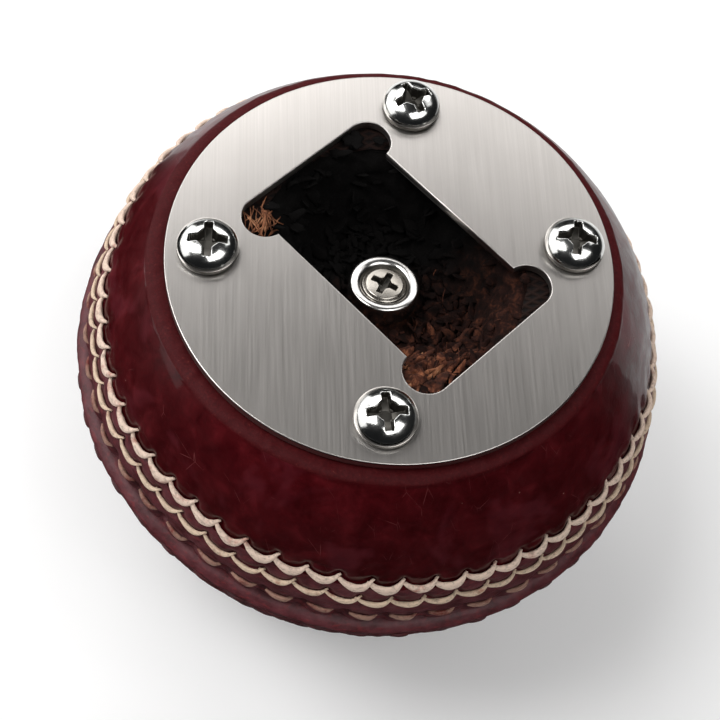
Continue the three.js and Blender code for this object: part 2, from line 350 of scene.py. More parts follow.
def leather_material():
    """Polished leather with dark patches, mauve patches of painted sheen, pale specks and scratches."""
    s = Shader("oxblood_leather", Specular_IOR_Level=0.14, Coat_Weight=0.22, Coat_Roughness=0.06)
    broad = s.noise(0.09, detail=3, rough=0.6)
    patches = s.noise(0.32, detail=6, rough=0.62, distortion=0.6)
    fine = s.noise(1.6)
    base = s.ramp(patches, (0.3, (0.030, 0.0004, 0.0014)), (0.56, (0.056, 0.0008, 0.0025)),
                  (0.78, (0.105, 0.0030, 0.0065)))
    base = s.mix(s.ramp(broad, (0.40, 0.0), (0.75, 0.45)), base, (0.022, 0.0003, 0.0008))
    base = s.mix(s.ramp(fine, (0.50, 0.0), (0.85, 0.15)), base, (0.14, 0.008, 0.014))
    # painted sheen: mauve patches that stand in for soft reflections on the polish
    sheen_patches = s.noise(0.11, detail=3, distortion=0.5)
    base = s.mix(s.ramp(sheen_patches, (0.53, 0.0), (0.60, 0.20)), base, (0.16, 0.022, 0.034))
    specks = s.ramp(s.cells(0.45), (0.0, 1.0), (0.035, 0.75), (0.05, 0.0))
    specks = s.maths("MULTIPLY", specks, s.ramp(patches, (0.5, 0.0), (0.62, 0.8)))
    base = s.mix(specks, base, (0.42, 0.20, 0.17))
    scratches = leather_scratches(s)
    base = s.mix(s.maths("MULTIPLY", scratches, 0.5), base, (0.30, 0.08, 0.08))
    s.paint(base)
    s.paint(s.ramp(patches, (0.3, 0.30), (0.75, 0.52)), "Roughness")
    s.bump(s.cells(2.6), 0.10, 0.05)
    s.bump(s.noise(0.9, detail=5), 0.22, 0.12)
    s.bump(scratches, 0.25, 0.06)
    return s.material


def seam_leather_material():
    """The strips between the stitches: creased, and dulled by wax."""
    s = Shader("waxed_seam_leather", Roughness=0.5, Specular_IOR_Level=0.35)
    patches = s.noise(0.5, detail=5, rough=0.65)
    streaks = s.noise(1.2, vector=s.moved(scale=(1, 1, 3.5)))
    base = s.ramp(patches, (0.3, (0.050, 0.006, 0.008)), (0.55, (0.105, 0.022, 0.028)),
                  (0.8, (0.150, 0.045, 0.050)))
    s.paint(s.mix(s.ramp(streaks, (0.52, 0.0), (0.72, 0.7)), base, (0.19, 0.022, 0.026)))
    s.bump(streaks, 0.5, 0.12)
    s.bump(s.noise(2.4), 0.25, 0.08)
    return s.material


def raw_edge_material():
    s = Shader("raw_leather_edge", Roughness=0.6, Specular_IOR_Level=0.12)
    fibres = s.noise(3.0, detail=6, rough=0.7, vector=s.moved(scale=(1, 1, 0.5)))
    patches = s.noise(0.5, detail=3)
    base = s.ramp(fibres, (0.3, (0.034, 0.0012, 0.0022)), (0.62, (0.066, 0.0035, 0.0050)),
                  (0.9, (0.26, 0.070, 0.045)))
    s.paint(s.mix(s.ramp(patches, (0.4, 0.0), (0.7, 0.8)), base, (0.050, 0.0012, 0.0026)))
    s.bump(fibres, 0.4, 0.10)
    return s.material


def thread_material(name, clean, stained, stain_from):
    """Waxed thread. stain_from is the noise value above which the red dye shows."""
    s = Shader(name, Roughness=0.62, Specular_IOR_Level=0.35)
    stain = s.noise(0.42, detail=5, rough=0.65)
    strands = s.noise(2.2, detail=3, vector=s.moved(scale=(1, 1, 2.2)))
    base = s.mix(s.ramp(stain, (stain_from, 0.0), (stain_from + 0.16, 1.0)), clean, stained)
    dark = tuple(0.45 * value for value in clean)
    s.paint(s.mix(s.ramp(strands, (0.30, 0.75), (0.5, 0.0)), base, dark))
    s.bump(strands, 0.45, 0.10)
    return s.material


def plate_material():
    """Brushed along one direction, which the UV map's U axis follows."""
    s = Shader("brushed_steel", Metallic=1.0, Anisotropic=0.55)
    along = (0, 0, -BRUSH_ANGLE)
    streaks = s.noise(1.0, detail=5, rough=0.7, vector=s.moved(scale=(0.045, 5.0, 1), turn=along))
    hairs = s.noise(1.0, detail=3, rough=0.6, vector=s.moved(scale=(0.10, 14.0, 1), turn=along))
    base = s.ramp(streaks, (0.25, (0.49, 0.462, 0.436)), (0.55, (0.54, 0.510, 0.484)),
                  (0.8, (0.60, 0.568, 0.54)))
    s.paint(s.mix(s.ramp(s.noise(0.12), (0.4, 0.0), (0.75, 0.30)), base, (0.44, 0.415, 0.39)))
    s.paint(s.ramp(hairs, (0.3, 0.28), (0.75, 0.36)), "Roughness")
    s.bump(streaks, 0.05, 0.02)
    s.bump(hairs, 0.08, 0.01)
    tangent = s.add("ShaderNodeTangent", direction_type="UV_MAP", uv_map="brushing")
    s.paint(tangent.outputs["Tangent"], "Tangent")
    return s.material


def polished_material(name, colour, rough):
    s = Shader(name, Metallic=1.0)
    smudge = s.noise(0.55, detail=5, rough=0.6)
    dull = tuple(0.72 * value for value in colour)
    s.paint(s.mix(s.ramp(smudge, (0.4, 0.0), (0.8, 0.6)), colour, dull))
    s.paint(s.ramp(smudge, (0.3, rough), (0.8, rough + 0.14)), "Roughness")
    s.bump(s.noise(3.0, detail=3), 0.06, 0.03)
    return s.material


def painted_pocket_shade(s):
    """How much painted shade the core gets, 1 on the side away from the near ear and 0 close to it."""
    toward_ear = s.add("ShaderNodeVectorMath", operation="DOT_PRODUCT")
    toward_ear.inputs[1].default_value = (0.86 / MM / POCKET_SHADE_SPAN, -0.50 / MM / POCKET_SHADE_SPAN, 0)
    s.join(s.coords, toward_ear.inputs[0])
    return s.ramp(s.maths("ADD", toward_ear.outputs["Value"], 0.5), (0.30, 1.0), (0.85, 0.0))


def cork_material(name, dark, middle, light, scale, shaded=False):
    """Torn cork. A shaded one has black painted shade on the side away from the near ear, where the plate
    shades the pocket.
    """
    s = Shader(name, Roughness=0.92, Specular_IOR_Level=0.12 if shaded else 0.25)
    grain = s.noise(scale, detail=7, rough=0.72, distortion=0.4)
    base = s.ramp(grain, (0.32, dark), (0.52, middle), (0.72, light))
    base = s.mix(s.ramp(s.cells(scale * 0.8), (0.15, 0.6), (0.5, 0.0)), base, dark)
    if shaded:
        # painted shade: black on the side of the pocket away from the near ear, where the plate's shadow
        # falls
        base = s.mix(painted_pocket_shade(s), base, (0.0012, 0.0008, 0.0007))
    s.paint(base)
    s.bump(grain, 0.8, 0.35)
    return s.material


def yarn_material():
    """Wound wool: bands of yarn that cross at two slants."""
    s = Shader("wound_wool", Roughness=0.9, Specular_IOR_Level=0.2)
    wound = s.maths("MAXIMUM", s.waves(0.35, (0.5, 0.2, 0.3)), s.waves(0.35, (-0.7, 0.4, 1.2)))
    s.paint(s.ramp(wound, (0.2, (0.003, 0.0012, 0.001)), (0.6, (0.007, 0.0026, 0.0018)),
                   (0.95, (0.012, 0.0045, 0.003))))
    s.bump(wound, 0.7, 0.4)
    return s.material


BRUSH_ANGLE = math.radians(138)
POCKET_SHADE_SPAN = 20

leather = leather_material()
raw_edge = raw_edge_material()
seam_leather = seam_leather_material()
outer_thread = thread_material("cream_thread", (0.74, 0.57, 0.46), (0.36, 0.10, 0.07), 0.56)
middle_thread = thread_material("pale_thread", (0.68, 0.52, 0.38), (0.34, 0.11, 0.07), 0.60)
sunken_thread = thread_material("stained_thread", (0.34, 0.19, 0.14), (0.17, 0.030, 0.022), 0.47)
dark_lower_thread = thread_material("dark_red_thread", (0.085, 0.030, 0.034), (0.09, 0.014, 0.016), 0.45)
plate_steel = plate_material()
screw_steel = polished_material("bright_screw", (0.74, 0.74, 0.72), 0.10)
aged_steel = polished_material("aged_screw", (0.40, 0.37, 0.33), 0.20)
# Dark steel for painted shade: in screw recesses, in the magnet's countersink and below the screw heads'
# rims.
painted_shade_steel = polished_material("painted_shade_steel", (0.10, 0.094, 0.084), 0.34)
nickel = polished_material("nickel_plate", (0.66, 0.64, 0.62), 0.16)
# These colours are cork's own colour darkened with painted shade of the deep pocket.
cork = cork_material("reddish_cork", (0.003, 0.0012, 0.0009), (0.018, 0.0058, 0.004),
                     (0.10, 0.032, 0.016), 0.7, shaded=True)
warm_cork = cork_material("warm_cork", (0.008, 0.0025, 0.0018), (0.075, 0.021, 0.010),
                          (0.36, 0.13, 0.06), 0.8)
pale_cork = cork_material("pale_cork", (0.04, 0.013, 0.007), (0.24, 0.09, 0.042),
                          (0.50, 0.26, 0.14), 0.9)
wool = yarn_material()

# ------------ leather cups

LOWER_SWELL = 1.15
LOWER_GROOVE = 0.35
OUTER_STITCHES = 63
INNER_STITCHES = 51
OUTER_PHASE = math.radians(-59.2)
MIDDLE_LAG = math.radians(1.3)
INNER_PHASE = math.radians(-49.9)
SPACING_SWING = 0.09
WIDEST_AT = math.radians(-60)

COLUMNS = 12 * OUTER_STITCHES
PHI = np.arange(COLUMNS) * TAU / COLUMNS
# Offsets from the joint of the close rings of leather round the seam, and how far out they are waxed.
BAND = np.arange(GAP / 2 + 0.3, SEAM_HALF_WIDTH + 1.5, 0.2)
WAXED_TO = 7.9
# The rings of the lip that turns in to the joint: depth under the surface, and offset.
LIP_RINGS = ((2.2, GAP / 2), (1.1, GAP / 2), (0.5, GAP / 2 + 0.02), (0.2, GAP / 2 + 0.09),
             (0.06, GAP / 2 + 0.18))
WAXED_RINGS = len(LIP_RINGS) + int(np.sum(BAND < WAXED_TO))
# The rings that roll the raw edge on to the cut: how far in from the leather's end, and below the cut.
EDGE_ROLL = 0.62
EDGE_RINGS = ((0.14, 0.40), (0.36, 0.24), (0.66, 0.11), (1.0, 0.03), (1.4, 0.0), (1.9, 0.05), (2.5, 0.12),
              (3.1, 0.15))


def leather_radius(offset):
    """Radius of the smooth leather at a height above the joint, in the seam's frame."""
    offset = np.asarray(offset, float)
    height = SEAM_HEIGHT + offset
    half_height = np.where(height > 0, CROWN_HEIGHT, BALL_RADIUS)
    smooth = BALL_RADIUS * np.sqrt(np.maximum(0, 1 - (height / half_height) ** 2))
    share = np.minimum(1, np.abs(offset) / SEAM_HALF_WIDTH)
    # Below the joint the leather swells out, and hides the lower rows from the photo's side.
    lip = 0.6 * (1 - smoothstep(2.0, 15.0, -offset)) + 0.4 * (1 - smoothstep(1.9, 3.4, -offset))
    swell = LOWER_SWELL * smoothstep(0.0, 1.0, -offset) * lip
    return smooth + SEAM_RISE * (1 - share**2) + swell


def sewn_angle(phi):
    """The angle that a place would have if the stitches' spacing, widest at WIDEST_AT, were even."""
    return phi - SPACING_SWING * np.sin(phi - WIDEST_AT)


def real_angle(sewn):
    """The inverse of sewn_angle."""
    phi = np.array(sewn, float)
    for _ in range(6):
        phi = sewn + SPACING_SWING * np.sin(phi - WIDEST_AT)
    return phi


def low_start(phi):
    """1 where a stitch starts low, on the side of the ball away from the seam's lean, fading to 0."""
    return smoothstep(math.cos(math.radians(75)), 1.0, np.cos(phi - math.radians(-150)))


class Row:
    """A stitch row: its offset from the joint, its stitches and how their thread runs."""

    def __init__(self, offset, count, phase, dip, half_width, height, tick, spread=(-0.10, 1.05)):
        self.offset = offset
        self.count = count
        self.phase = float(sewn_angle(phase))  # where stitch 0 ends
        self.dip = dip  # how far a stitch sags away from the plate
        self.half_width = half_width
        self.height = height
        self.tick = tick  # how far a stitch's end points to the plate
        self.spread = spread  # the part of the spacing that the thread shows over

    def share(self, phi):
        """Place along a stitch, 0 at its start and 1 at its end."""
        return ((sewn_angle(phi) - self.phase) / TAU * self.count) % 1.0

    def path(self, share):
        """Height of the thread's middle above the row, along a stitch."""
        return -self.dip * np.sin(math.pi * np.clip(share, 0, 1)) ** 0.8


ROWS = (
    Row(ROW_OFFSETS[0] + 0.35, OUTER_STITCHES, OUTER_PHASE, 0.66, 0.70, 0.66, 0.35),
    Row(ROW_OFFSETS[1] + 0.20, OUTER_STITCHES, OUTER_PHASE - MIDDLE_LAG, 0.52, 0.42, 0.56, 0.22),
    Row(ROW_OFFSETS[2] - 0.55, INNER_STITCHES, INNER_PHASE, 0.25, 0.52, 0.50, 0.0, (0.10, 0.78)),
)


def seam_relief(phi, offset, points):
    """How far the leather near the joint stands out or in, in millimetres."""
    away = np.abs(offset)
    sunk = np.where(offset < 0, LOWER_GROOVE, 0.0)
    relief = np.zeros_like(away)
    for row in ROWS:
        share = row.share(phi)
        aside = away - (row.offset + row.path(share))
        groove = np.exp(-((aside / (row.half_width + 0.12)) ** 2))
        relief -= (0.36 + 0.1 * np.sin(math.pi * share) + sunk) * groove
        # The hole that a stitch goes down, at its end, with the leather drawn in round it.
        turn = np.minimum(share, 1 - share) * TAU * BALL_RADIUS / row.count
        hole = np.exp(-((turn / 0.55) ** 2 + ((away - row.offset - 0.45) / 0.6) ** 2))
        relief -= 0.45 * hole
    # The dark hollows over the joint, between the stitches of the innermost row.
    between = np.cos(math.pi * (ROWS[2].share(phi) - 0.94)) ** 2
    relief -= np.where(offset > 0, 0.25 + 1.25 * between**2, 0.2) * np.exp(-(((away - 1.1) / 0.85) ** 2))
    band = 1 - smoothstep(SEAM_HALF_WIDTH - 1, SEAM_HALF_WIDTH + 2.5, away)
    long_creases = value_noise(points * (1, 1, 3.2), 2.2, 5.0) * 0.10
    short_creases = value_noise(points * (1, 1, 2.0), 0.9, 9.0) * 0.05
    relief += band * (long_creases + short_creases)
    puffs = np.cos(ROWS[0].share(phi) * TAU) * np.exp(-(((away - ROW_OFFSETS[0] - 2.6) / 1.0) ** 2))
    relief -= 0.07 * puffs
    return relief


def lumps(points):
    """Soft unevenness of the whole cover."""
    broad = 0.16 * value_noise(points, 11, 1.0)
    return broad + 0.07 * value_noise(points, 4, 2.0) + 0.025 * value_noise(points, 1.6, 3.0)


def tilted_height(phi, offset):
    """Height over the ball's centre, in the ball's frame, of a point of the smooth leather."""
    radius = leather_radius(offset)
    return (SEAM_HEIGHT + offset) * math.cos(SEAM_TILT) - radius * np.cos(phi) * math.sin(SEAM_TILT)


def cut_offset(phi):
    """Offset from the joint at which the leather meets the flat cut."""
    low = np.full_like(phi, SEAM_HALF_WIDTH)
    high = np.full_like(phi, CROWN_HEIGHT - SEAM_HEIGHT - 0.01)
    for _ in range(40):
        middle = (low + high) / 2
        above = tilted_height(phi, middle) > CUT_HEIGHT
        high = np.where(above, middle, high)
        low = np.where(above, low, middle)
    return (low + high) / 2


def outer_leather(phi, offset):
    """Points of the leather's outer face, with all its relief, in the ball's frame."""
    radius = leather_radius(offset)
    smooth = around(radius, phi, SEAM_HEIGHT + offset)
    relief = seam_relief(phi, offset, smooth) + lumps(smooth)
    outward = smooth / np.linalg.norm(smooth, axis=-1, keepdims=True)
    return tilt(smooth + outward * relief[..., None])


def seam_rings(side):
    """Rings of a cup's outside, from its lip over the seam band. side is 1 above the joint, -1 below."""
    rings = []
    for depth, offset in LIP_RINGS:
        ring = outer_leather(PHI, np.full(COLUMNS, side * offset))
        rings.append(ring - ring / np.linalg.norm(ring, axis=1, keepdims=True) * depth)
    rings += [outer_leather(PHI, np.full(COLUMNS, side * offset)) for offset in BAND]
    return rings


def crown_rings():
    """Rings of the upper cup from the seam band up to where the raw edge starts to roll over."""
    height = cut_offset(PHI) - EDGE_ROLL - BAND[-1]
    shares = np.linspace(0, 1, 40)[1:]
    return [outer_leather(PHI, BAND[-1] + height * (1 - (1 - share) ** 1.15)) for share in shares]


def edge_rings(last):
    """Rings from the leather's last ring over on to the flat cut, a little ragged."""
    radius = np.linalg.norm(last[:, :2], axis=1)
    direction = last[:, :2] / radius[:, None]
    wobble = 0.18 * value_noise(last, 3.5, 21.0) + 0.10 * value_noise(last, 1.1, 22.0)
    rings = []
    for inset, drop in EDGE_RINGS:
        ring = np.empty((COLUMNS, 3))
        ring[:, :2] = direction * (radius - inset + wobble * min(1, inset * 3))[:, None]
        flat = value_noise(np.column_stack([ring[:, :2], np.full(COLUMNS, inset)]), 0.8, 23.0)
        ring[:, 2] = CUT_HEIGHT - drop + 0.09 * flat * min(1, inset * 4)
        rings.append(ring)
    return rings


def bore_rings(foot):
    """Rings of the upper cup's unseen bore, from the cut down to the foot, its ring at the joint."""
    angle = np.arctan2(foot[:, 1], foot[:, 0])
    rings = []
    for share in np.linspace(0, 1, 8):
        height = CUT_HEIGHT - 0.1 + (foot[:, 2] - CUT_HEIGHT) * share
        bore = np.sqrt(np.maximum(CUP_BORE**2 - height**2, 1))
        rings.append(around(bore, angle, height))
    return rings


def upper_cup():
    outside = seam_rings(1) + crown_rings()
    edge = edge_rings(outside[-1])
    rings = outside + edge + bore_rings(outside[0])
    slots = np.zeros((len(rings), COLUMNS), dtype=np.int32)
    slots[:WAXED_RINGS] = 2
    slots[len(outside) : len(outside) + len(edge)] = 1
    faces = grid_faces(len(rings), COLUMNS, close_rows=True)
    add_mesh("upper_leather_cover", np.concatenate(rings), faces, (leather, raw_edge, seam_leather),
             slots.ravel(), ("upper_leather_cup",))


def belly_rings():
    """Rings of the lower cup from the seam band down to near its pole."""
    start = math.asin((BAND[-1] - SEAM_HEIGHT) / BALL_RADIUS)
    rings = []
    for share in np.linspace(0, 1, 46)[1:-1]:
        angle = start + (math.pi / 2 - start) * share
        offset = -(BALL_RADIUS * math.sin(angle) + SEAM_HEIGHT)
        rings.append(outer_leather(PHI, np.full(COLUMNS, offset)))
    return rings


def bowl_rings(foot):
    """Rings of the lower cup's unseen inside, from its ring at the joint down to near its pole."""
    angle = np.arctan2(foot[:, 1], foot[:, 0])
    start = np.arcsin(np.clip(foot[:, 2] / CUP_BORE, -1, 1))
    rings = []
    for share in np.linspace(0, 1, 12)[:-1]:
        polar = start + (-math.pi / 2 - start) * share
        rings.append(around(CUP_BORE * np.cos(polar), angle, CUP_BORE * np.sin(polar)))
    return rings


def lower_cup():
    outside = seam_rings(-1) + belly_rings()
    inside = bowl_rings(outside[0])[::-1]
    pole = outer_leather(np.zeros(1), np.full(1, -(BALL_RADIUS + SEAM_HEIGHT) + 1e-6))[0]
    points, faces = capped_sheet(inside + outside, (0, 0, -CUP_BORE), pole)
    slots = np.zeros(len(faces), dtype=np.int32)
    slots[len(inside) * COLUMNS : (len(inside) + WAXED_RINGS) * COLUMNS] = 1
    add_mesh("lower_leather_cover", points, faces, (leather, seam_leather), slots,
             ("lower_leather_cup",))


upper_cup()
lower_cup()

# ------------ stitches

STITCH_STEPS = 20
STITCH_SIDES = 12


def stitch_row(number, row, side, material):
    """One row of separate stitches. side is 1 above the joint and -1 below it."""
    first, last = row.spread
    share = np.linspace(first, last, STITCH_STEPS)[None, :]
    index = np.arange(row.count)[:, None]
    wander = rng.uniform(-1, 1, (row.count, 6))
    phi = real_angle(row.phase + (index + share - 1 + 0.05 * wander[:, :1]) * TAU / row.count)
    inside = np.clip(share, 0, 1)
    start_low = row.dip * 0.9 * np.exp(-((share / 0.3) ** 2)) * low_start(phi)
    tick = row.tick * smoothstep(0.72, 1.04, share) * (1 + 0.5 * wander[:, 1:2])
    away = row.offset + row.path(inside) - start_low + tick + 0.10 * wander[:, 2:3]
    belly = np.sin(math.pi * np.clip((share - first) / (last - first), 0, 1)) ** 0.75
    lean = 0.70 + 0.30 * smoothstep(0.1, 0.6, share) - 0.35 * smoothstep(0.80, 1.0, share)
    half_width = row.half_width * (0.14 + 0.86 * belly * lean) * (1 + 0.10 * wander[:, 3:4])
    half_height = row.height * (0.30 + 0.35 * belly * lean) * (1 + 0.10 * wander[:, 4:5])
    rise = row.height * (0.42 * belly * lean - 0.12) + 0.05 * wander[:, 5:6]
    rise = rise - 0.30 * smoothstep(last - 0.15, last, share)
    rise = rise - 0.12 * (1 - smoothstep(first, first + 0.25, share))
    radius = leather_radius(side * away) + rise - 0.12 - (LOWER_GROOVE if side < 0 else 0)
    flat = around(radius, phi, SEAM_HEIGHT + side * away)
    outward = flat / np.linalg.norm(flat, axis=-1, keepdims=True)
    flat = flat + outward * lumps(flat)[..., None]
    points, faces = swept(tilt(flat), tilt(outward), half_width, half_height, STITCH_SIDES,
                          lobes=3, turns=1.4, depth=0.16)
    add_mesh(f"stitches_{number}", points, faces, (material,), None,
             (f"stitch_row_{number}",))


for number, row, thread in zip((1, 2, 3), ROWS, (outer_thread, middle_thread, sunken_thread)):
    stitch_row(number, row, 1, thread)
# The rows below the joint get a dark red thread, darker than the rows above.
for number, row in zip((4, 5, 6), reversed(ROWS)):
    stitch_row(number, row, -1, dark_lower_thread)

# ------------ opener plate

PLATE_BEVEL = 0.14


def arc_points(x, y, radius, start, end, steps):
    angles = np.linspace(start, end, steps)
    return np.column_stack([x + radius * np.cos(angles), y + radius * np.sin(angles)])


def circle_points(x, y, radius, steps):
    return arc_points(x, y, radius, 0, TAU * (steps - 1) / steps, steps)


def opening_outline():
    """The dog-bone opening: four round ears joined by straight sides."""
    meet = math.asin((OPENING_HALF_WIDTH - EAR_CENTRE_Y) / EAR_RADIUS)
    ear_x = OPENING_HALF_LENGTH - EAR_RADIUS
    x, y = OPENING_CENTRE
    return np.concatenate([
        arc_points(x + ear_x, y + EAR_CENTRE_Y, EAR_RADIUS, 0, math.pi - meet, 28),
        arc_points(x - ear_x, y + EAR_CENTRE_Y, EAR_RADIUS, meet, math.pi, 28),
        arc_points(x - ear_x, y - EAR_CENTRE_Y, EAR_RADIUS, math.pi, TAU - meet, 28),
        arc_points(x + ear_x, y - EAR_CENTRE_Y, EAR_RADIUS, math.pi + meet, TAU, 28),
    ])


def plate_curve():
    """The plate's rim, opening and screw holes as one filled curve with rounded edges."""
    curve = bpy.data.curves.new("opener_plate_outline", "CURVE")
    curve.dimensions = "2D"
    curve.fill_mode = "BOTH"
    curve.extrude = ((PLATE_TOP - PLATE_BOTTOM) / 2 - PLATE_BEVEL) * MM
    curve.bevel_depth = PLATE_BEVEL * MM
    curve.bevel_resolution = 3
    curve.offset = -PLATE_BEVEL * MM
    outlines = [circle_points(0, 0, PLATE_RADIUS, 360), opening_outline()]
    for number in SCREW_TURNS:
        centre, _ = node_size(f"plate_screw_{number}")
        outlines.append(circle_points(centre[0], centre[1], SCREW_HOLE_RADIUS, 48))
    for outline in outlines:
        spline = curve.splines.new("POLY")
        spline.points.add(len(outline) - 1)
        for point, (x, y) in zip(spline.points, outline):
            point.co = (x * MM, y * MM, 0, 1)
        spline.use_cyclic_u = True
    return curve


def curve_mesh(curve):
    maker = new_object("opener_plate_maker", curve)
    bpy.context.view_layer.update()
    mesh = bpy.data.meshes.new_from_object(maker.evaluated_get(bpy.context.evaluated_depsgraph_get()))
    bpy.data.objects.remove(maker)
    return mesh


def finish_plate(mesh):
    """Joins the curve's loose edges, smooths its bevels and lays the brushing's UV map."""
    shape = bmesh.new()
    shape.from_mesh(mesh)
    bmesh.ops.remove_doubles(shape, verts=shape.verts, dist=0.004 * MM)
    bmesh.ops.recalc_face_normals(shape, faces=shape.faces)
    uv = shape.loops.layers.uv.new("brushing")
    across = Vector((math.cos(BRUSH_ANGLE + math.pi / 2), math.sin(BRUSH_ANGLE + math.pi / 2), 0))
    along = Vector((math.cos(BRUSH_ANGLE), math.sin(BRUSH_ANGLE), 0))
    for face in shape.faces:
        face.smooth = abs(face.normal.z) < 0.999
        for loop in face.loops:
            loop[uv].uv = (loop.vert.co.dot(across) / MM, loop.vert.co.dot(along) / MM)
    shape.to_mesh(mesh)
    shape.free()


def opener_plate():
    mesh = curve_mesh(plate_curve())
    mesh.name = "brushed_plate"
    mesh.transform(Matrix.Translation((0, 0, (BALL_HEIGHT + (PLATE_TOP + PLATE_BOTTOM) / 2) * MM)))
    mesh.materials.clear()
    mesh.materials.append(plate_steel)
    finish_plate(mesh)
    place_piece("brushed_plate", mesh, ("opener_plate",))


# ------------ screws

SCREW_TURNS = {1: math.radians(40), 2: math.radians(73), 3: math.radians(45), 4: math.radians(52)}
SCREW_HEAD_RADIUS = 3.5
SCREW_HEAD_HEIGHT = 2.5
SCREW_RIM_HEIGHT = 0.75
SCREW_SHANK_RADIUS = 1.7
SCREW_HOLE_RADIUS = SCREW_SHANK_RADIUS + GAP
SCREW_LENGTH = 16
SCREW_COLUMNS = 168
MAGNET_SCREW_COLUMNS = 144
RECESS_STEP = 0.055
RECESS_REACH = 2.3
RECESS_SHADE_FROM = 0.45


def cross_recess(x, y, reach, half_width, wing, depth):
    """Depth of a Phillips recess below the head's face, at points across it."""
    across = np.minimum(np.abs(x), np.abs(y))
    along = np.maximum(np.abs(x), np.abs(y))
    narrowing = half_width * (1.05 - 0.12 * along / reach)
    arm = np.minimum(smoothstep(0, 0.11, narrowing - across), smoothstep(0, 0.12, reach - along))
    arm_depth = depth * np.clip(1.12 - 0.45 * along / reach, 0, 1)
    flare = smoothstep(0, 0.5, wing - (np.abs(x) + np.abs(y)))
    return np.maximum(arm * arm_depth, flare * depth * 0.85)


def screw_mesh(face, recess, side_profile, columns):
    """A turned screw, as (points, faces, slots). Slot 1, for painted shade, is the recess and all below
    the rim but the tip.

    face(r) is the head's upper face, and side_profile is [r, z] from its rim to the tip. The rings lie
    close together where the recess is.
    """
    rim = side_profile[0][0]
    close = np.arange(RECESS_STEP, RECESS_REACH, RECESS_STEP)
    radii = np.concatenate([close, np.linspace(RECESS_REACH, rim, 16)])
    angle = np.arange(columns) * TAU / columns
    rings, slots = [], []
    for radius in radii:
        x, y = radius * np.cos(angle), radius * np.sin(angle)
        rings.append(np.column_stack([x, y, face(radius) - recess(x, y)]))
        # Faces deep in the recess get the painted shade steel.
        slots.extend(recess(x, y) > RECESS_SHADE_FROM)
    for radius, z in side_profile[1:]:
        rings.append(around(radius, angle, z))
    middle = (0, 0, face(0) - recess(np.zeros(1), np.zeros(1))[0])
    points, faces = capped_sheet(rings, middle, (0, 0, side_profile[-1][1] - 0.3))
    # All below the rim but the tip also gets the painted shade steel: painted shade under the head.
    slots += [1] * (len(faces) - columns - len(slots)) + [0] * columns
    return points, faces, slots


def threaded_shank(radius, length, tip, start, pitch=1.3, depth=0.28):
    """[r, z] rows of rings that stand for the thread, from under the head to the tip."""
    rows = []
    z = start
    while z > -length + tip:
        rows.append((radius, z))
        rows.append((radius - depth, z - pitch * 0.5))
        z -= pitch
    rows.append((radius * 0.75, -length + tip * 0.7))
    rows.append((radius * 0.25, -length + 0.3))
    return rows


def pan_head(radius):
    share = min(radius / SCREW_HEAD_RADIUS, 1.0)
    return SCREW_RIM_HEIGHT + (SCREW_HEAD_HEIGHT - SCREW_RIM_HEIGHT) * (1 - share**2.5) ** 0.62


def plate_screw(number, turn):
    centre, _ = node_size(f"plate_screw_{number}")
    side = [(SCREW_HEAD_RADIUS - 0.02, 0.0), (SCREW_HEAD_RADIUS, SCREW_RIM_HEIGHT - 0.08),
            (SCREW_HEAD_RADIUS, 0.12), (SCREW_HEAD_RADIUS - 0.1, 0.0), (SCREW_SHANK_RADIUS + 0.1, 0.0)]
    side += threaded_shank(SCREW_SHANK_RADIUS, SCREW_LENGTH, 2.5, -0.1)
    points, faces, slots = screw_mesh(
        pan_head, lambda x, y: cross_recess(x, y, 2.25, 0.52, 1.75, 1.75), side, SCREW_COLUMNS)
    points = turned(points, turn) + (centre[0], centre[1], PLATE_TOP + 0.03)
    add_mesh(f"pan_screw_{number}", points, faces, (screw_steel, painted_shade_steel), slots,
             (f"plate_screw_{number}",))


opener_plate()
for number, turn in SCREW_TURNS.items():
    plate_screw(number, turn)

# ------------ magnet and its screw

MAGNET_RADIUS = 4.2
MAGNET_THICKNESS = 3
MAGNET_TOP = PLATE_TOP - 6.5
MAGNET_CENTRE = (-0.3, 0.2)
MAGNET_LEAN = math.radians(8)
MAGNET_LEAN_DIRECTION = math.radians(125)
MAGNET_BORE_RADIUS = 1.9
COUNTERSINK_RADIUS = 3.1
COUNTERSINK_DEPTH = 1.6
MAGNET_SCREW_HEAD = 2.6
MAGNET_SCREW_TURN = math.radians(20)


def lean(points):
    """Turns points about the middle of the magnet's face, at height 0, and puts them in place."""
    axis = (-math.sin(MAGNET_LEAN_DIRECTION), math.cos(MAGNET_LEAN_DIRECTION), 0)
    turn = np.array(Matrix.Rotation(MAGNET_LEAN, 3, Vector(axis)))
    return points @ turn.T + (*MAGNET_CENTRE, MAGNET_TOP)


def rounded(profile, radius, steps):
    """The closed profile with each corner rounded off by radius, or less where a side is short."""
    result = []
    count = len(profile)
    for i in range(count):
        here = np.array(profile[i], float)
        back, on = (np.array(profile[(i + k) % count], float) - here for k in (-1, 1))
        reach = min(radius, np.linalg.norm(back) / 2.2, np.linalg.norm(on) / 2.2)
        first = here + back / np.linalg.norm(back) * reach
        last = here + on / np.linalg.norm(on) * reach
        for share in np.linspace(0, 1, steps):
            result.append((1 - share) ** 2 * first + 2 * share * (1 - share) * here + share**2 * last)
    return result


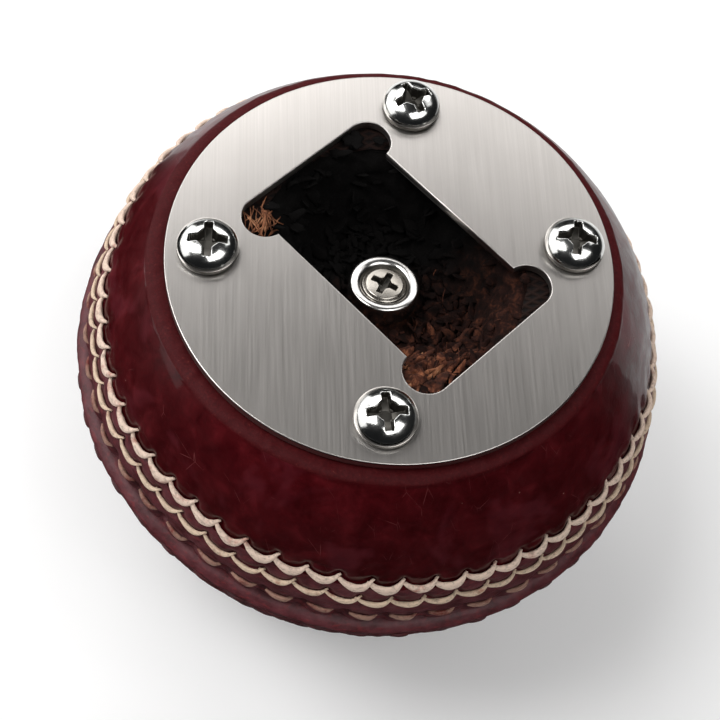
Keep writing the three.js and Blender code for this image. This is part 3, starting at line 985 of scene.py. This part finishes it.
def ring_magnet():
    profile = rounded([
        (MAGNET_BORE_RADIUS, -MAGNET_THICKNESS), (MAGNET_RADIUS, -MAGNET_THICKNESS), (MAGNET_RADIUS, 0),
        (COUNTERSINK_RADIUS, 0), (MAGNET_BORE_RADIUS, -COUNTERSINK_DEPTH)], 0.5, 9)
    columns = MAGNET_SCREW_COLUMNS
    angle = np.arange(columns) * TAU / columns
    rings = [around(r, angle, z) for r, z in profile]
    # The countersink gets the painted shade steel: painted shade in the groove round the screw head.
    slots = np.repeat([int(r < COUNTERSINK_RADIUS - 0.1) for r, _ in profile], columns)
    faces = grid_faces(len(rings), columns, close_rows=True)
    add_mesh("ring_magnet", lean(np.concatenate(rings)), faces, (nickel, painted_shade_steel), slots,
             ("cap_magnet",))


def countersunk_face(radius):
    """Height of the magnet screw's face, which falls away a little and has a rounded edge."""
    share = radius / MAGNET_SCREW_HEAD
    return -0.02 - 0.16 * share**2 - 0.30 * smoothstep(0.82, 1.0, share)


def magnet_screw():
    head = MAGNET_SCREW_HEAD
    side = [(head, 0.0), (head + 0.02, -0.62), (head - 0.12, -0.74), (1.55, -1.5)]
    side += threaded_shank(1.5, 12, 2.5, -1.6, pitch=1.1, depth=0.2)
    points, faces, slots = screw_mesh(
        countersunk_face, lambda x, y: cross_recess(x, y, 1.65, 0.40, 1.2, 1.2), side,
        MAGNET_SCREW_COLUMNS)
    add_mesh("magnet_countersunk_screw", lean(turned(points, MAGNET_SCREW_TURN)), faces,
             (aged_steel, painted_shade_steel), slots, ("magnet_screw",))


ring_magnet()
magnet_screw()

# ------------ pocket in the core

LINING_COLUMNS = 220
LINING_ROWS = 60
LINING_THICKNESS = 0.1


def bowl_height(x, y):
    """Height of the carved pocket's surface, at points across the ball."""
    across = (x - OPENING_CENTRE[0]) / MOUTH_HALF_LENGTH
    sideways = (y - OPENING_CENTRE[1]) / (MOUTH_HALF_LENGTH * MOUTH_WIDTH_RATIO)
    share = np.sqrt(across**2 + sideways**2)
    return POCKET_FLOOR + 0.3 + (CUT_HEIGHT - POCKET_FLOOR - 0.5) * smoothstep(0.55, 1.04, share) ** 0.8


def rough_core(points):
    """Torn, crumbly relief of the carved core, always standing out of the surface."""
    coarse = value_noise(points, 2.6, 31.0)
    middle = value_noise(points, 1.1, 32.0)
    fine = value_noise(points, 0.45, 33.0)
    return 0.55 * np.abs(coarse) + 0.45 * np.abs(middle) + 0.22 * fine


def pocket_lining():
    """A thin crumbly skin over the pocket's floor and walls."""
    angle = np.arange(LINING_COLUMNS) * TAU / LINING_COLUMNS
    top = []
    for share in np.linspace(0.03, 1.06, LINING_ROWS):
        x = OPENING_CENTRE[0] + MOUTH_HALF_LENGTH * share * np.cos(angle)
        y = OPENING_CENTRE[1] + MOUTH_HALF_LENGTH * MOUTH_WIDTH_RATIO * share * np.sin(angle)
        ring = np.column_stack([x, y, bowl_height(x, y)])
        fade = 1 - smoothstep(0.93, 1.03, share)
        ring[:, 2] += rough_core(ring) * (0.1 + 0.9 * fade)
        inward = rough_core(ring + 50) * 0.8 * smoothstep(0.55, 0.8, share) * fade
        ring[:, 0] -= inward * np.cos(angle)
        ring[:, 1] -= inward * np.sin(angle)
        ring[:, 2] = np.minimum(ring[:, 2], CUT_HEIGHT + 0.12)
        top.append(ring)
    drop = np.array([0, 0, LINING_THICKNESS])
    middle = top[0].mean(axis=0)
    points, faces = capped_sheet(top + [ring - drop for ring in reversed(top)], middle, middle - drop)
    # A quad splits at its first corner, so starting one corner on picks the other diagonal.
    faces = [face[1:] + face[:1] for face in faces]
    add_mesh("pocket_lining", points, faces, (cork,), None)


SHRED_STEPS = 9


def random_axes(count, flatness, heading):
    """Directions along each shred and out of it. flatness 0 is any way up and 1 lies flat.

    heading is (mean azimuth, spread), or None for any direction.
    """
    turn = rng.normal(*heading, count) if heading else rng.uniform(0, TAU, count)
    along = np.column_stack([np.cos(turn), np.sin(turn), rng.normal(0, 0.35, count)])
    along /= np.linalg.norm(along, axis=1, keepdims=True)
    up = rng.normal(0, 1 - flatness, (count, 3)) + (0, 0, 1)
    up -= along * (up * along).sum(axis=1, keepdims=True)
    up /= np.linalg.norm(up, axis=1, keepdims=True)
    return along, up


def shreds(name, places, length, width, thickness, curl, flatness, material, heading=None, sides=6):
    """Curled strips and fibres of torn cork at places, each (x, y, z). Pairs are (least, most)."""
    steps = SHRED_STEPS
    count = len(places)
    along, up = random_axes(count, flatness, heading)
    side = np.cross(up, along)
    reach = rng.uniform(*length, count)[:, None]
    bend = rng.uniform(-1, 1, count)[:, None] * curl
    sway = rng.uniform(-1, 1, count)[:, None] * curl * 0.7
    share = np.linspace(-0.5, 0.5, steps)[None, :]
    paths = (places[:, None, :] + along[:, None, :] * (reach * share)[..., None]
             + up[:, None, :] * (reach * bend * (share**2 - 0.08))[..., None]
             + side[:, None, :] * (reach * sway * (share**2 - 0.08))[..., None])
    ragged = 1 + 0.25 * rng.uniform(-1, 1, (count, steps))
    taper = np.sqrt(np.clip(1 - (2 * share) ** 2 * 0.92, 0, 1))
    half_width = rng.uniform(*width, count)[:, None] / 2 * taper * ragged
    half_height = rng.uniform(*thickness, count)[:, None] / 2 * (0.6 + 0.4 * taper)
    twist = rng.uniform(-0.9, 0.9, count)[:, None] * (share + 0.5)
    ups = up[:, None, :] * np.cos(twist)[..., None] + side[:, None, :] * np.sin(twist)[..., None]
    points, faces = swept(paths, ups, half_width, half_height, sides)
    # Those that would stand past the plate are flattened under it.
    points[:, 2] = np.minimum(points[:, 2], PLATE_BOTTOM + 0.5 + 0.15 * (points[:, 2] - PLATE_BOTTOM))
    add_mesh(name, points, faces, (material,), None)


def scatter(count, centre, spread, lift=(0.3, 1.3)):
    """Places on the bowl, in a patch round centre, each lifted a little and clear of the magnet."""
    places = []
    while len(places) < count:
        x, y = rng.normal(centre, spread)
        dx, dy = x - OPENING_CENTRE[0], y - OPENING_CENTRE[1]
        in_middle = abs(dx) < OPENING_HALF_LENGTH - 0.6 and abs(dy) < OPENING_HALF_WIDTH + 1.2
        ear_x = abs(dx) - (OPENING_HALF_LENGTH - EAR_RADIUS)
        in_ear = math.hypot(ear_x, abs(dy) - EAR_CENTRE_Y) < EAR_RADIUS - 0.3
        clear = math.hypot(x - MAGNET_CENTRE[0], y - MAGNET_CENTRE[1]) > MAGNET_RADIUS + 1.0
        if (in_middle or in_ear) and clear:
            places.append((x, y, float(bowl_height(x, y)) + rng.uniform(*lift)))
    return np.array(places)


pocket_lining()

near_ear = (OPENING_CENTRE[0] + 12.6, OPENING_CENTRE[1] - 7.6)
left_ear = (OPENING_CENTRE[0] - 13.4, OPENING_CENTRE[1] - 8.6)
ACROSS = (math.radians(95), 0.40)
UPWARD = (math.radians(-48), 0.35)
shreds("cork_shreds_floor", scatter(380, (0, 0), (8, 5)),
       (1.4, 3.6), (0.6, 1.6), (0.10, 0.28), 1.0, 0.8, cork)
shreds("cork_flakes_near", scatter(60, near_ear, (3.4, 3.6), (0.0, 0.6)),
       (2.6, 5.6), (0.7, 1.9), (0.12, 0.28), 0.8, 0.8, warm_cork, ACROSS)
shreds("cork_shreds_near", scatter(46, near_ear, (2.6, 3.0), (0.0, 0.6)),
       (1.4, 3.4), (0.3, 0.9), (0.10, 0.20), 1.2, 0.7, warm_cork)
shreds("cork_shreds_ears", scatter(18, near_ear, (2.2, 1.8), (0.1, 0.7)),
       (2.0, 4.2), (0.25, 0.8), (0.08, 0.16), 1.0, 0.8, pale_cork, ACROSS)
shreds("cork_fibres", scatter(60, (7, -4), (5, 4)),
       (1.5, 3.6), (0.08, 0.16), (0.08, 0.14), 1.4, 0.4, warm_cork, sides=5)
shreds("ear_fibres", scatter(34, left_ear, (0.9, 1.2)),
       (2.0, 3.6), (0.12, 0.40), (0.08, 0.16), 0.8, 0.4, pale_cork, UPWARD, sides=5)

# ------------ the CAD nodes that stay

for node, material in (
        ("core_nucleus", cork), ("inner_yarn_layer", wool), ("inner_cork_layer", cork),
        ("middle_yarn_layer", wool), ("outer_cork_layer", cork), ("outer_yarn_layer", wool)):
    mesh = frame["nodes"][node].data
    mesh.materials.clear()
    mesh.materials.append(material)

# ------------ floor, light and camera

FLOOR_GLOW = 0.05  # keeps the far floor white, as in the photo
CARD_FROM = 170
CARD_TO = 410
CARD_LIFT = 0.0012
CAMERA_LENS = 67.5
CAMERA_PLACE = (47.1, -67.2, 152.0)
CAMERA_AIM = (0.3, -2.4)
CAMERA_ROLL = math.radians(11.6)


def stage_mesh(name, corners, faces, material):
    """Something that isn't part of the object."""
    mesh = bpy.data.meshes.new(name)
    mesh.from_pydata(corners, [], faces)
    mesh.materials.append(material)
    thing = new_object(name, mesh)
    return thing


def floor():
    s = Shader("pale_floor", Base_Color=(0.92, 0.918, 0.915, 1), Roughness=0.9,
               Emission_Color=(1, 1, 1, 1), Emission_Strength=FLOOR_GLOW)
    half = 6.0
    corners = [(-half, -half, 0), (half, -half, 0), (half, half, 0), (-half, half, 0)]
    stage_mesh("floor", corners, [(0, 1, 2, 3)], s.material)


def black_card():
    """A dark card lying round the camera's side, seen only in reflections, like a studio flag."""
    s = Shader("black_card", Base_Color=(0.004, 0.004, 0.004, 1), Roughness=1.0, Specular_IOR_Level=0.0)
    angles = np.radians(np.linspace(CARD_FROM, CARD_TO, 40))
    rings = [around(radius, angles, CARD_LIFT) for radius in (0.012, 1.5)]
    faces = grid_faces(2, 40, close_columns=False).tolist()
    card = stage_mesh("black_card", np.concatenate(rings).tolist(), faces, s.material)
    card.visible_camera = False
    card.visible_shadow = False
    card.visible_diffuse = False


def softbox(name, azimuth, elevation, distance, size, power):
    """An area light that faces the ball. Angles are degrees, distances and sizes metres."""
    turn, rise = math.radians(azimuth), math.radians(elevation)
    outward = Vector((math.cos(rise) * math.cos(turn), math.cos(rise) * math.sin(turn), math.sin(rise)))
    lamp = bpy.data.lights.new(name, "AREA")
    lamp.shape = "RECTANGLE"
    lamp.size, lamp.size_y = size
    lamp.energy = power
    light = new_object(name, lamp)
    light.location = Vector((0, 0, 0.045)) + outward * distance
    light.rotation_euler = (-outward).to_track_quat("-Z", "Y").to_euler()


def world():
    surroundings = bpy.data.worlds.new("studio")
    surroundings.use_nodes = True
    background = surroundings.node_tree.nodes["Background"]
    background.inputs["Color"].default_value = (0.9, 0.95, 1.0, 1)
    background.inputs["Strength"].default_value = 0.012
    bpy.context.scene.world = surroundings


def camera():
    """The photograph's view: from above, on the side of the ear that lies lowest in the picture."""
    lens = bpy.data.cameras.new("camera")
    lens.lens = CAMERA_LENS
    lens.sensor_width = 36
    eye = new_object("camera", lens)
    eye.location = Vector((*CAMERA_PLACE[:2], CAMERA_PLACE[2] + BALL_HEIGHT)) * MM
    target = Vector((*CAMERA_AIM, BALL_HEIGHT)) * MM
    look = (target - eye.location).to_track_quat("-Z", "Y")
    eye.rotation_mode = "QUATERNION"
    eye.rotation_quaternion = look @ Euler((0, 0, CAMERA_ROLL)).to_quaternion()
    bpy.context.scene.camera = eye


floor()
black_card()
world()
softbox("back", 125, 40, 0.8, (0.9, 0.28), 1.85)
softbox("back_left", 158, 46, 0.8, (0.35, 0.25), 0.9)
softbox("back_right", 88, 42, 0.8, (0.4, 0.25), 0.35)
softbox("left_high", 218, 62, 0.8, (0.3, 0.3), 2.3)
softbox("left_front", 215, 42, 0.7, (0.35, 0.35), 0.8)
softbox("left_low", 185, 22, 0.7, (0.6, 0.45), 1.4)
softbox("left_front_low", 218, 22, 0.7, (0.6, 0.45), 1.2)
softbox("front", -20, 62, 0.8, (0.35, 0.35), 1.5)
softbox("right", 20, 58, 0.8, (0.35, 0.35), 1.1)
camera()

bpy.context.scene.view_settings.view_transform = "Standard"
